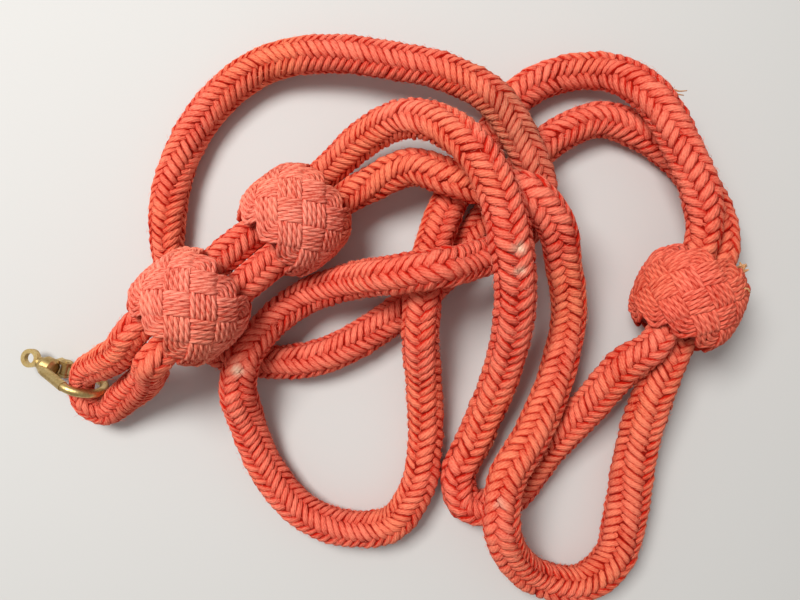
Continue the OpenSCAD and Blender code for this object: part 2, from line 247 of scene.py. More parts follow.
# A rib is the stretch of one yarn that shows: it slants across its column, stands proud in the
# middle and dives under the next columns' ribs at both ends. Hand plaiting leaves the ribs uneven.
RIB_REACH = math.radians(37)
RIB_RISE = 3.0
RIB_HALF_WIDTH = 0.58
RIB_H = 0.8
RIB_DIVE = 0.65
RIB_TAPER = 0.4
RIB_PROUD = 0.05
UNEVEN_PLACE = 0.04
UNEVEN_SLANT = 0.09
UNEVEN_REACH = 0.05
UNEVEN_HEIGHT = 0.08
UNEVEN_WIDTH = 0.09
MOST_CROWDED = 0.55
MOST_SPREAD = 1.3
rib_steps = np.array([-1.0, -0.74, -0.28, 0.28, 0.74, 1.0])
Ribs = namedtuple("Ribs", "centre across out half_w half_h far")


def lay_ribs(line, lie, chance):
    spots, turned, pitches = np.array(lie, float).T
    pitch = evened(np.interp(line.along, spots, pitches))
    turn = np.radians(evened(np.interp(line.along, spots, turned)))
    counted = np.concatenate([[0], np.cumsum(np.diff(line.along) / pitch[1:])])
    per_column = int(counted[-1])
    column = np.repeat(np.arange(COLUMNS), per_column)
    n = column.size

    # Neighbouring columns slant opposite ways and lie half a rib apart.
    slant = np.where(column % 2 == 0, 1.0, -1.0)
    number = np.tile(np.arange(per_column), COLUMNS) + 0.25 + 0.5 * (column % 2)
    number = number + chance.normal(0, UNEVEN_PLACE, n)
    middle = np.interp(number, counted, line.along)
    rise = slant * RIB_RISE * RIB_REACH / COLUMN * (1 + chance.normal(0, UNEVEN_SLANT, n))
    along = np.clip(middle[:, None] + rise[:, None] * rib_steps, 0.01, line.along[-1] - 0.01)
    reach = RIB_REACH * (1 + chance.normal(0, UNEVEN_REACH, n))
    angle = COLUMN * (column + 0.5)[:, None] + reach[:, None] * rib_steps + at_length(line, turn, along)
    size = at_length(line, line.radius, along) / CORD_R
    out = np.cos(angle)[..., None] * at_length(line, line.side, along)
    out += np.sin(angle)[..., None] * at_length(line, line.up, along)
    proud = chance.normal(RIB_PROUD, UNEVEN_HEIGHT, n)[:, None]
    from_axis = (CORD_R - RIB_H + proud - RIB_DIVE * np.abs(rib_steps) ** 3) * size
    centre = at_length(line, line.centre, along) + from_axis[..., None] * out
    forward = np.gradient(centre, axis=1)
    length = np.linalg.norm(forward, axis=2)
    forward /= length[..., None]
    out -= (out * forward).sum(2)[..., None] * forward
    out /= np.linalg.norm(out, axis=2)[..., None]
    far = np.cumsum(np.concatenate([np.zeros((n, 1)), (length[:, 1:] + length[:, :-1]) / 2], 1), axis=1)

    # On the inside of a bend the ribs crowd together, and on the outside they spread.
    bend = (at_length(line, line.curve, along) * out).sum(2)
    spread = np.clip(1 - from_axis * bend, MOST_CROWDED, MOST_SPREAD)
    taper = 1 - RIB_TAPER * np.abs(rib_steps) ** 3
    slope = math.atan2(RIB_RISE, CORD_R * COLUMN)
    half_w = RIB_HALF_WIDTH * math.cos(slope) * np.interp(middle, line.along, pitch)
    half_w = half_w * (1 + chance.normal(0, UNEVEN_WIDTH, n))
    half_w = half_w[:, None] * spread * taper
    half_h = RIB_H * size * taper
    return Ribs(centre, np.cross(forward, out), out, half_w, half_h, far)


# The skin of a soft part: points, faces, two marks a point (how much painted highlight it gets
# where it stands proud, below 0 where it is buried and gets painted shade, and the lot its yarn
# came from), the yarn's own map in millimetres along and round it, and the map for baking.
Skin = namedtuple("Skin", "places faces marks yarn_uv bake_uv")
FLOOR_GAP = 0.05
RIB_ROUND = 5.5
RIB_HIGHLIGHT = 0.74
YARN_LENGTHS = 60

# A rib's section, from its root and back to it: across and above in shares of its half width and
# half height, and how far round the yarn each corner lies.
rib_across = np.array([0, 1, 0.84, 0, -0.84, -1])
rib_above = np.array([-1, -0.2, 0.7, 1, 0.7, -0.2])
rib_round = np.array([0.0, 0.18, 0.34, 0.5, 0.66, 0.82, 1.0])


def plaited_ribs(line, lie, seed):
    chance = np.random.RandomState(seed)
    ribs = lay_ribs(line, lie, chance)
    n, rings = ribs.far.shape
    sides = len(rib_across)
    places = (
        ribs.centre[:, :, None]
        + (ribs.half_w[..., None] * rib_across)[..., None] * ribs.across[:, :, None]
        + (ribs.half_h[..., None] * rib_above)[..., None] * ribs.out[:, :, None]
    )
    places[..., 2] = np.maximum(places[..., 2], FLOOR_GAP)
    ring, side = np.meshgrid(np.arange(rings - 1), np.arange(sides), indexing="ij")
    here = ring * sides + side
    beside = ring * sides + (side + 1) % sides
    skin = np.stack([here, here + sides, beside + sides, beside], 2).reshape(-1, 4)
    root = np.array([[0, 1, 2, 3], [0, 3, 4, 5]])
    tip = (rings - 1) * sides + root[:, ::-1]
    base = np.arange(n)[:, None, None] * rings * sides
    faces = (base + np.vstack([skin, root, tip])[None]).reshape(-1, 4)

    corner_ring = np.stack([ring, ring + 1, ring + 1, ring], 2).reshape(-1, 4)
    corner_side = np.stack([side, side, side + 1, side + 1], 2).reshape(-1, 4)
    start = chance.uniform(0, YARN_LENGTHS, n)[:, None, None]
    round_it = np.broadcast_to((rib_round[corner_side] - 0.5) * RIB_ROUND, (n,) + corner_side.shape)
    yarn = np.stack([ribs.far[:, corner_ring] + start, round_it], 3)
    flat_ends = np.zeros((n, 4, 4, 2)) + start[..., None]

    # In the map for baking each rib has a cell of its own, and the bed has a strip above them.
    cells = math.ceil(math.sqrt(n))
    cell = np.stack([np.arange(n) % cells, np.arange(n) // cells], 1)[:, None, None]
    local = np.stack([0.06 + 0.8 * corner_ring / (rings - 1), 0.06 + 0.86 * rib_round[corner_side]], 2)
    local_ends = np.array([[[0.9, 0.1], [0.9, 0.2], [0.95, 0.2], [0.95, 0.1]]] * 4)
    bake = (cell + np.concatenate([local, local_ends])[None]) / cells
    bake[..., 1] *= 0.94
    # A rib is painted palest in its middle, where it stands proud, and darker towards its ends, as painted
    # shade where it dives under.
    highlight_mark = RIB_HIGHLIGHT * np.clip(1.15 - np.abs(rib_steps) ** 2, 0, 1)[None, :, None]
    lot = chance.uniform(0, 1, n)[:, None, None]
    marks = np.stack([np.broadcast_to(mark, (n, rings, sides)) for mark in (highlight_mark, lot)], 3)
    return Skin(
        places.reshape(-1, 3),
        faces,
        marks.reshape(-1, 2),
        np.concatenate([yarn, flat_ends], 1).reshape(-1, 2),
        bake.reshape(-1, 2),
    )


# The bed of the plait, where the yarns pass under each other, is a plain round tube that only
# shows as a dark line between the ribs, painted dark as painted shade. A single thread is such a tube too.
TUBE_SIDES = 12
TUBE_SIDE = 2.0


def round_tube(line, step, share, proud):
    along = np.linspace(0, line.along[-1], int(line.along[-1] / step) + 1)
    n = len(along)
    sides = TUBE_SIDES
    angle = np.arange(sides) * 2 * np.pi / sides
    out = (
        np.cos(angle)[None, :, None] * at_length(line, line.side, along)[:, None]
        + np.sin(angle)[None, :, None] * at_length(line, line.up, along)[:, None]
    )
    r = at_length(line, line.radius, along) * share
    places = at_length(line, line.centre, along)[:, None] + r[:, None, None] * out
    ring, side = np.meshgrid(np.arange(n - 1), np.arange(sides), indexing="ij")
    here = ring * sides + side
    beside = ring * sides + (side + 1) % sides
    skin = np.stack([here, beside, beside + sides, here + sides], 2).reshape(-1, 4)
    tip = (n - 1) * sides
    pairs = range(0, sides - 2, 2)
    caps = [[0, sides - 1 - pair, sides - 2 - pair, sides - 3 - pair] for pair in pairs]
    caps += [[tip, tip + pair + 1, tip + pair + 2, tip + pair + 3] for pair in pairs]
    corner_ring = np.stack([ring, ring, ring + 1, ring + 1], 2).reshape(-1, 4)
    corner_side = np.stack([side, side + 1, side + 1, side], 2).reshape(-1, 4)
    yarn = np.stack([along[corner_ring], corner_side * TUBE_SIDE], 2).reshape(-1, 2)
    bake = np.stack([corner_ring / (n - 1), 0.95 + 0.045 * corner_side / sides], 2).reshape(-1, 2)
    corner = np.tile([[0.001, 0.998], [0.003, 0.998], [0.003, 0.999], [0.001, 0.999]], (len(caps), 1))
    # The first mark is how much painted highlight the tube gets, and below 0 how much painted shade.
    return Skin(
        places.reshape(-1, 3),
        np.vstack([skin, np.array(caps)]),
        np.tile([proud, 0.5], (n * sides, 1)),
        np.vstack([yarn, np.zeros((len(corner), 2))]),
        np.vstack([bake, corner]),
    )


# Places rubbed through to pale fibre, and a stretch tinted brown: x, y, z and reach. The wear and
# the tint are full within 0.4 of the reach and gone at 1.4.
worn_places = np.array([
    [33.4, 16.5, 32.5, 1.2], [33.9, 11.9, 30.5, 1.1], [-31.3, -11.2, 18, 1.4], [31, -42.2, 20, 1.0],
])
browned_places = np.array([
    [39.5, 38, 15, 5], [36.5, 45, 15, 6], [32, 52, 15, 6], [26, 58, 13, 4.5],
])


def near(places, spots):
    away = np.linalg.norm(places[:, None] - spots[None, :, :3], axis=2) / spots[None, :, 3]
    return np.clip(1.4 - away, 0, 1).max(1)


def soft_piece(name, skins):
    places = np.vstack([skin.places for skin in skins])
    shift = np.cumsum([0] + [len(skin.places) for skin in skins])
    faces = np.vstack([skin.faces + first for skin, first in zip(skins, shift)])
    mesh = bpy.data.meshes.new(name)
    mesh.vertices.add(len(places))
    mesh.vertices.foreach_set("co", (places * MM).astype(np.float32).ravel())
    mesh.loops.add(faces.size)
    mesh.loops.foreach_set("vertex_index", faces.astype(np.int32).ravel())
    mesh.polygons.add(len(faces))
    mesh.polygons.foreach_set("loop_start", np.arange(0, faces.size, faces.shape[1], dtype=np.int32))
    mesh.polygons.foreach_set("use_smooth", np.ones(len(faces), bool))
    mesh.update(calc_edges=True)
    for layer, values in (("yarn", "yarn_uv"), ("OFBake", "bake_uv")):
        made = mesh.uv_layers.new(name=layer, do_init=False)
        flat = np.vstack([getattr(skin, values) for skin in skins]).astype(np.float32)
        made.uv.foreach_set("vector", flat.ravel())
    marks = np.vstack([skin.marks for skin in skins])
    # Its four channels: painted highlight and shade, yarn lot, rubbed wear, and the brown tint.
    shade_and_wear = np.column_stack([marks, near(places, worn_places), near(places, browned_places)])
    tint = mesh.color_attributes.new("shade_and_wear", "FLOAT_COLOR", "POINT")
    tint.data.foreach_set("color", shade_and_wear.astype(np.float32).ravel())
    piece = bpy.data.objects.new(name, mesh)
    scene.collection.objects.link(piece)
    return piece


def linear(colour):
    parts = [int(colour[i : i + 2], 16) / 255 for i in (1, 3, 5)]
    return tuple(c / 12.92 if c <= 0.04045 else ((c + 0.055) / 1.055) ** 2.4 for c in parts) + (1.0,)


def add_node(tree, kind, wires=None, **settings):
    node = tree.nodes.new(kind)
    for key, value in settings.items():
        setattr(node, key, value)
    for key, value in (wires or {}).items():
        if isinstance(value, bpy.types.NodeSocket):
            tree.links.new(value, node.inputs[key])
        else:
            node.inputs[key].default_value = value
    return node


# Worsted is combed, tightly plied wool: matt, with a faint sheen. The eye sees slanting plies and
# streaks of hair. A dye is given as lit and shaded copies: a painted highlight on the proud yarn,
# more orange where it is rubbed, painted shade in red down the flanks, and darker painted shade in
# the bed. The streaks are 0.19 mm across, eight times a real hair.
DyeLitAndShaded = namedtuple("DyeLitAndShaded", "proud rubbed sheltered deep")
PLY_SLANT = 20
STREAK_MM = 2 / 3
STREAK_DRAWN = 3.5
BROWN_TINT = "#bdf8ec"
BARE_FIBRE = "#f3d3b4"


def worsted(name, dye_and_shade, half_mm, ply_mm, ply_depth_mm):
    material = bpy.data.materials.new(name)
    material.use_nodes = True
    tree = material.node_tree
    surface = tree.nodes["Principled BSDF"]
    yarn_place = add_node(tree, "ShaderNodeUVMap", uv_map="yarn").outputs["UV"]
    object_place = add_node(tree, "ShaderNodeTexCoord").outputs["Object"]
    shade_and_wear = add_node(tree, "ShaderNodeAttribute", attribute_name="shade_and_wear").outputs
    shares = add_node(tree, "ShaderNodeSeparateColor", {"Color": shade_and_wear["Color"]}).outputs

    # Plies and hairs follow the slant of the twist. A wave of scale 1 repeats every 0.314.
    lay = (0, 0, math.radians(90 - PLY_SLANT))
    spun = add_node(tree, "ShaderNodeMapping", {"Vector": yarn_place, "Rotation": lay}).outputs[0]
    plies = add_node(
        tree, "ShaderNodeTexWave",
        {"Vector": spun, "Scale": 0.314 / ply_mm, "Distortion": 1.6, "Detail": 2.0, "Detail Scale": 1.5},
        bands_direction="X",
    ).outputs["Fac"]
    drawn = add_node(tree, "ShaderNodeMapping", {"Vector": spun, "Scale": (STREAK_DRAWN, 1, 1)}).outputs[0]
    hairs = add_node(
        tree, "ShaderNodeTexNoise",
        {"Vector": drawn, "Scale": 1 / STREAK_MM, "Detail": 6.0, "Roughness": 0.7},
    ).outputs["Fac"]

    # Uneven dye in patches of about 11 mm, and rubbed stretches of about 26 mm.
    patches = add_node(
        tree, "ShaderNodeTexNoise", {"Vector": object_place, "Scale": 0.09 / MM, "Detail": 4.0}
    ).outputs["Fac"]
    stretches = add_node(
        tree, "ShaderNodeTexNoise", {"Vector": object_place, "Scale": 0.038 / MM, "Detail": 3.0}
    ).outputs["Fac"]
    faded = add_node(
        tree, "ShaderNodeMapRange", {"Value": stretches, "From Min": 0.48, "From Max": 0.68}
    ).outputs[0]

    # How much painted highlight a point gets: full on the crown of a yarn, none down its flanks, where
    # it takes painted shade, and broken up by all of the above and by the yarn's own lot.
    round_yarn = add_node(tree, "ShaderNodeSeparateXYZ", {"Vector": yarn_place}).outputs["Y"]
    off_crown = add_node(tree, "ShaderNodeMath", {0: round_yarn}, operation="ABSOLUTE").outputs[0]
    shaded_flank = {"From Min": 0.5 * half_mm, "From Max": 1.08 * half_mm, "To Min": 1.0, "To Max": 0.0}
    lit_crown = add_node(
        tree, "ShaderNodeMapRange", {"Value": off_crown, **shaded_flank}, interpolation_type="SMOOTHSTEP"
    ).outputs[0]
    highlight_and_dye = add_node(tree, "ShaderNodeMath", {0: shares["Red"], 1: lit_crown}, operation="MULTIPLY").outputs[0]
    for pattern, weight in ((plies, 0.2), (hairs, 2.0), (patches, 0.5), (shares["Green"], 0.3)):
        part = add_node(
            tree, "ShaderNodeMath", {0: pattern, 1: weight, 2: -weight / 2}, operation="MULTIPLY_ADD"
        ).outputs[0]
        highlight_and_dye = add_node(
            tree, "ShaderNodeMath", {0: highlight_and_dye, 1: part}, operation="ADD", use_clamp=True
        ).outputs[0]
    # The bed, marked below 0, is painted darker still, as painted shade.
    bed_shade = add_node(
        tree, "ShaderNodeMath", {0: shares["Red"], 1: -1.0}, operation="MULTIPLY", use_clamp=True
    ).outputs[0]
    bare = add_node(tree, "ShaderNodeMath", {0: shares["Blue"], 1: hairs}, operation="MULTIPLY").outputs[0]
    bare = add_node(
        tree, "ShaderNodeMath", {0: bare, 1: 1.7}, operation="MULTIPLY", use_clamp=True
    ).outputs[0]
    lit_crest = add_node(
        tree, "ShaderNodeMix", {"Factor": faded, "A": linear(dye_and_shade.proud), "B": linear(dye_and_shade.rubbed)},
        data_type="RGBA",
    ).outputs["Result"]
    # The colour starts as the painted shade of the flanks and takes over it the painted highlight, the
    # brown tint, the darker painted shade of the bed and the bare fibre.
    colour = linear(dye_and_shade.sheltered)
    for factor, over, blend in (
        (highlight_and_dye, lit_crest, "MIX"),
        (shade_and_wear["Alpha"], linear(BROWN_TINT), "MULTIPLY"),
        (bed_shade, linear(dye_and_shade.deep), "MIX"),
        (bare, linear(BARE_FIBRE), "MIX"),
    ):
        colour = add_node(
            tree, "ShaderNodeMix", {"Factor": factor, "A": colour, "B": over},
            data_type="RGBA", blend_type=blend,
        ).outputs["Result"]
    tree.links.new(colour, surface.inputs["Base Color"])

    height = add_node(
        tree, "ShaderNodeMath", {0: hairs, 1: 2.5, 2: plies}, operation="MULTIPLY_ADD"
    ).outputs[0]
    relief = add_node(
        tree, "ShaderNodeBump", {"Height": height, "Strength": 0.9, "Distance": ply_depth_mm * MM}
    ).outputs["Normal"]
    tree.links.new(relief, surface.inputs["Normal"])
    surface.inputs["Roughness"].default_value = 0.85
    surface.inputs["Specular IOR Level"].default_value = 0.05
    surface.inputs["Sheen Weight"].default_value = 0.05
    surface.inputs["Sheen Roughness"].default_value = 0.5
    surface.inputs["Sheen Tint"].default_value = linear("#ffb8a6")
    return material


# The bed tube is a little thinner than the cord and is marked below 0, so it gets dark painted shade.
# RIB_TOP sets how far round a yarn's crown its painted highlight reaches, in millimetres.
BED_STEP = 2.2
BED_SHARE = 0.89
BED_SHADE_MARK = -0.8
RIB_TOP = 0.95
CORD_PLY = 0.6
# The cord's painted highlight plain and rubbed, then its painted shade on the flanks and darker in the
# bed.
cord_dye_and_shade = DyeLitAndShaded("#ff866b", "#ff8c67", "#c41806", "#7c0e04")
plaited_worsted = worsted("plaited_worsted", cord_dye_and_shade, RIB_TOP, CORD_PLY, 0.1)
cord_nodes = {
    "hook_end_cord": ["hook_bight_cover", "link_upper_cover", "link_lower_cover"],
    "over_leg_cord": ["over_leg_cover"],
    "under_leg_cord": ["under_leg_cover"],
    "neck_loop_cord": ["neck_loop_cover"],
}
for seed, (name, line) in enumerate(runs.items(), 1):
    bed = round_tube(line, BED_STEP, BED_SHARE, BED_SHADE_MARK)
    piece = soft_piece(name, [plaited_ribs(line, plait_lie[name], seed), bed])
    piece.data.materials.append(plaited_worsted)
    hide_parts(*cord_nodes[name])
    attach(piece, "cord")

# Loose fibre: wool hairs that have worked out of the plait with wear and stand off the cord, some
# bent back into it. Drawn 0.07 mm thick, three times the real hair, so that they show.
HAIR_R = 0.035
HAIRS_PER_MM = 6
HAIR_FREE = 20
HAIR_ROOT = 0.93
HAIR_LENGTH = (0.7, 2.4)
HAIR_HEIGHT = (0.15, 0.75)
HAIR_ARC = (0.35, 1.0)
hair_faces = np.array([
    [0, 2, 1], [0, 3, 2], [0, 1, 3], [1, 2, 5], [1, 5, 4], [2, 3, 6], [2, 6, 5], [3, 1, 4], [3, 4, 6],
    [7, 4, 5], [7, 5, 6], [7, 6, 4],
])


def loose_fibre(line, seed):
    chance = np.random.RandomState(seed)
    count = int(HAIRS_PER_MM * line.along[-1])
    along = chance.uniform(HAIR_FREE, line.along[-1] - HAIR_FREE, count)
    angle = chance.uniform(0, 2 * np.pi, count)
    out = np.cos(angle)[:, None] * at_length(line, line.side, along)
    out = out + np.sin(angle)[:, None] * at_length(line, line.up, along)
    heading = at_length(line, line.heading, along)
    lean = chance.uniform(0, 2 * np.pi, count)
    forward = np.cos(lean)[:, None] * heading + np.sin(lean)[:, None] * np.cross(heading, out)
    across = np.cross(forward, out)
    length = chance.uniform(*HAIR_LENGTH, count)
    height = chance.uniform(*HAIR_HEIGHT, count)
    arc = np.pi * chance.uniform(*HAIR_ARC, count)
    rooted = HAIR_ROOT * at_length(line, line.radius, along)
    root = at_length(line, line.centre, along) + rooted[:, None] * out
    f = np.array([0, 1 / 3, 2 / 3, 1])
    spine = root[:, None] + (length[:, None] * f)[..., None] * forward[:, None]
    spine += (height[:, None] * np.sin(arc[:, None] * f))[..., None] * out[:, None]
    corner = np.radians([90, 210, 330])
    ring = HAIR_R * (np.cos(corner)[:, None] * across[:, None] + np.sin(corner)[:, None] * out[:, None])
    places = np.concatenate([spine[:, :1], spine[:, 1:2] + ring, spine[:, 2:3] + ring, spine[:, 3:]], 1)
    places[..., 2] = np.maximum(places[..., 2], HAIR_R)
    points = places.shape[1]
    corners = hair_faces.size
    faces = (np.arange(count)[:, None, None] * points + hair_faces[None]).reshape(-1, 3)
    lot = np.repeat(chance.uniform(0, 1, (count, 1)), points, 1)
    # Every hair gets the full painted highlight.
    marks = np.stack([np.ones((count, points)), lot], 2).reshape(-1, 2)
    start = chance.uniform(0, YARN_LENGTHS, count)
    yarn = np.repeat(np.stack([start, np.zeros(count)], 1), corners, 0)
    bake = np.repeat(chance.uniform(0.01, 0.98, (count, 2)), corners, 0)
    bake = bake + np.tile([[0, 0], [0.004, 0], [0, 0.004]], (len(hair_faces) * count, 1))
    return Skin(places.reshape(-1, 3), faces, marks, yarn, bake)


# Single hairs look paler and more orange than the plait, even where they lie in its shade.
hair_dye_and_shade = DyeLitAndShaded("#ff9880", "#ffa37c", "#db5a42", "#db5a42")
wool_fibre = worsted("wool_fibre", hair_dye_and_shade, RIB_TOP, CORD_PLY, 0.01)
hairs = soft_piece("loose_fibre", [loose_fibre(line, seed) for seed, line in enumerate(runs.values(), 21)])
hairs.data.materials.append(wool_fibre)
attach(hairs, "cord")

# Three Turk's heads, each one band of five plied worsted yarns laid side by side, woven five
# leads by nine bights over a felt sleeve and drawn tight, so that it slides stiffly on the cord.
LEADS = 5
BIGHTS = 9
YARNS = 5
STEP_Z = 3.64
LANE = 2 * STEP_Z / YARNS
WEAVE_R = 11.65
BARREL_R = 28
RIM_DROP = 1.7
RIM_AT = 10.5
LIFT = 0.66
BIGHT_BEND = 0.35
LANE_BEND = 0.11
WAVER = 0.07
RIPPLE = 0.05
PLY_LEAD = 7.0
PLIES = 3
PLY_CORE = 0.54
PLY_LOBE = 0.17
WEAVE_RINGS = 1440
WEAVE_SIDES = 12
WEAVE_SIDE = 0.3
BAKE_ROWS = 6


# One band goes round and round between the two rims, over one and under one. Its yarns keep their
# lanes, turn sharper on the inside of each bight, and waver a little.
def turks_head(seed):
    chance = np.random.RandomState(seed)
    rings = WEAVE_RINGS
    sides = WEAVE_SIDES
    step = np.arange(rings) * 2 * LEADS * BIGHTS / rings
    from_rim = step % LEADS
    down = np.where(step // LEADS % 2 == 0, 1.0, -1.0)
    upper = np.where(from_rim < LEADS / 2, down, -down)
    to_rim = np.minimum(from_rim, LEADS - from_rim)
    turn = step * np.pi / BIGHTS
    round_yarn = np.arange(sides) * 2 * np.pi / sides - np.pi / 2
    ring, side = np.meshgrid(np.arange(rings), np.arange(sides), indexing="ij")
    here = ring * sides
    ahead = (ring + 1) % rings * sides
    beside = (side + 1) % sides
    quads = np.stack([here + side, ahead + side, ahead + beside, here + beside], 2).reshape(-1, 4)
    corner_ring = np.stack([ring, ring + 1, ring + 1, ring], 2).reshape(-1, 4)
    corner_side = np.stack([side, side, side + 1, side + 1], 2).reshape(-1, 4)
    made = []
    for number in range(YARNS):
        lane = number - YARNS // 2
        bend = BIGHT_BEND + LANE_BEND * lane * upper
        z = upper * STEP_Z * (np.hypot(LEADS / 2, bend) - np.hypot(to_rim, bend)) + lane * LANE
        sway = WAVER * np.sin(step * 0.7 + chance.uniform(0, 6))
        z += sway + RIPPLE * np.sin(step * 2.1 + chance.uniform(0, 6))
        place = from_rim - lane * down / YARNS
        crossing = (place > 0.5) & (place < LEADS - 0.5)
        lift = np.where(crossing, np.tanh(3 * np.cos(np.pi * place)), 0)
        r = WEAVE_R - z ** 2 / (2 * BARREL_R) - RIM_DROP * (np.abs(z) / RIM_AT) ** 6 + LIFT * lift
        r += RIPPLE * np.sin(step * 1.3 + chance.uniform(0, 6))
        centre = np.stack([r * np.cos(turn), r * np.sin(turn), z], 1)
        along = np.roll(centre, -1, 0) - np.roll(centre, 1, 0)
        length = np.linalg.norm(along, axis=1) / 2
        along /= 2 * length[:, None]
        run = np.cumsum(length)
        out = np.stack([np.cos(turn), np.sin(turn), z / BARREL_R], 1)
        out -= (out * along).sum(1)[:, None] * along
        out /= np.linalg.norm(out, axis=1)[:, None]
        across = np.cross(along, out)
        twist = run / run[-1] * 2 * np.pi * round(PLIES * run[-1] / PLY_LEAD)
        lobe = 0.5 + 0.5 * np.cos(PLIES * round_yarn[None] - twist[:, None])
        girth = PLY_CORE + PLY_LOBE * lobe
        places = centre[:, None] + girth[..., None] * (
            np.cos(round_yarn)[None, :, None] * across[:, None]
            + np.sin(round_yarn)[None, :, None] * out[:, None]
        )
        far = np.append(run, run[-1] + length[0])
        yarn = np.stack([far[corner_ring], (corner_side - sides / 2) * WEAVE_SIDE], 2).reshape(-1, 2)
        row_len = rings // BAKE_ROWS
        row = corner_ring[:, :1] // row_len
        bake_u = 0.01 + 0.98 * (corner_ring - row * row_len) / row_len
        bake_v = row + BAKE_ROWS * number + 0.08 + 0.84 * corner_side / sides
        bake_v = bake_v / (YARNS * BAKE_ROWS)
        bake = np.stack([bake_u, bake_v], 2).reshape(-1, 2)

        # A ply is painted palest on its back, as a painted highlight, and paler where its yarn passes
        # over, with painted shade where it passes under.
        highlight_mark = (0.3 + 0.5 * lobe) * (0.85 + 0.15 * lift)[:, None]
        lot = 0.5 + 0.35 * np.sin(step * 0.21 + chance.uniform(0, 6)) + chance.normal(0, 0.08)
        marks = np.stack([highlight_mark, np.broadcast_to(lot[:, None], highlight_mark.shape)], 2).reshape(-1, 2)
        made.append(Skin(places.reshape(-1, 3), quads, marks, yarn, bake))
    return made


# The two upper knots are handled more, and have faded to a dusty pink. The neck knot is fresher.
# A knot yarn's painted highlight is a little narrower than the cord's.
KNOT_TOP = 0.85
KNOT_PLY = 0.5
# Each gives the painted highlight plain and rubbed, then painted shade on the flanks and darker in the
# bed.
faded_dye_and_shade = DyeLitAndShaded("#ff9a82", "#ff9c7a", "#bc301c", "#8a1a0c")
fresh_dye_and_shade = DyeLitAndShaded("#ff826a", "#ff8868", "#b42412", "#8a1a0c")
knot_worsted = worsted("knot_worsted", faded_dye_and_shade, KNOT_TOP, KNOT_PLY, 0.06)
fresh_knot_worsted = worsted("fresh_knot_worsted", fresh_dye_and_shade, KNOT_TOP, KNOT_PLY, 0.06)
for seed, (name, (at, axis, roll)) in enumerate(knots.items(), 11):
    stand = np.array(
        Matrix.Translation(Vector(at))
        @ Matrix.Rotation(math.atan2(axis[1], axis[0]), 4, "Z")
        @ Matrix.Rotation(math.acos(axis[2]), 4, "Y")
        @ Matrix.Rotation(math.radians(roll), 4, "Z")
    )
    yarns = turks_head(seed)
    yarns = [yarn._replace(places=yarn.places @ stand[:3, :3].T + stand[:3, 3]) for yarn in yarns]
    piece = soft_piece(name + "_band", yarns)
    piece.data.materials.append(fresh_knot_worsted if name == "neck_knot" else knot_worsted)
    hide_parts(name + "_weave")
    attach(piece, name)

# Frayed ends: broken yarns that stick out of the cord and the knots, untwisted and bleached pale.
# Each is a few plies of wool, still held at its root under the plait. The neck knot has a tuft.
THREAD_R = 0.3
THREAD_TAPER = 0.2
THREAD_STEP = 0.5
# A thread gets some painted highlight.
THREAD_HIGHLIGHT = 0.6
TUFT_AT = [89, 12.6, 15.5]
TUFT_LEAN = [0.85, 0.45, 0.3]
TUFT_THREADS = 16
TUFT_LENGTH = 2.2
TUFT_SPREAD = 0.4
TUFT_ROOT = 0.3
TUFT_CURL = 0.25
frayed = {
    "frayed_cord_ends": ("cord", "plaited_worsted", [
        [(71, 56.2, 15.2), (73.2, 56.5, 15.2), (75.2, 56.2, 14.8), (77.4, 56.5, 14.2)],
        [(71, 55.9, 15), (73.2, 56, 14.8), (75, 55.6, 14.4), (76.8, 55.5, 13.8)],
        [(71, 55.8, 14.6), (73, 55.6, 14.6), (74.4, 55.6, 14.2)],
    ]),
    "frayed_neck_knot_ends": ("neck_knot", "knot_worsted", [
        [(89.6, 7.2, 14), (91.2, 7.6, 14.6), (92.4, 7, 14.2)],
        [(86.4, 7.6, 22), (87.6, 8.2, 22.8), (88.4, 7.2, 22.4)],
    ]),
    "frayed_hook_knot_ends": ("hook_knot", "knot_worsted", [
        [(-31.4, 6.4, 16), (-30.2, 7.4, 16.2), (-29.4, 6.6, 15), (-30.6, 5.6, 14.4)],
    ]),
}
chance = np.random.RandomState(31)
for _ in range(TUFT_THREADS):
    lean = chance.normal(0, TUFT_SPREAD, 3) + TUFT_LEAN
    lean /= np.linalg.norm(lean)
    root = np.array(TUFT_AT) + chance.normal(0, TUFT_ROOT, 3)
    middle = root + TUFT_LENGTH / 2 * lean + chance.normal(0, TUFT_CURL, 3)
    frayed["frayed_neck_knot_ends"][2].append([root, middle, root + TUFT_LENGTH * lean])

# Bleached wool has lost its dye to straw, with tan as its painted shade, and shows its hairs more than its
# plies.
straw_and_shade = DyeLitAndShaded("#f2c79c", "#f2c79c", "#d39a68", "#d39a68")
frayed_wool = worsted("frayed_wool", straw_and_shade, RIB_TOP, CORD_PLY, 0.02)
for name, (body, slot, ends) in frayed.items():
    threads = [
        smooth_line([[*place, THREAD_R * (1 - THREAD_TAPER * i)] for i, place in enumerate(end)])
        for end in ends
    ]
    piece = soft_piece(name, [round_tube(thread, THREAD_STEP, 1.0, THREAD_HIGHLIGHT) for thread in threads])
    piece.data.materials.append(frayed_wool)
    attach(piece, body)


# Inside the soft parts: cotton cores that fill the plait, and felt sleeves that pad the knots.
# They are cut and sewn in. The cores don't show, and the sleeves show in the knots' mouths.
COTTON_CLUMP = 0.8
FELT_CLUMP = 1.2
CLUMP_DEPTH = 0.3


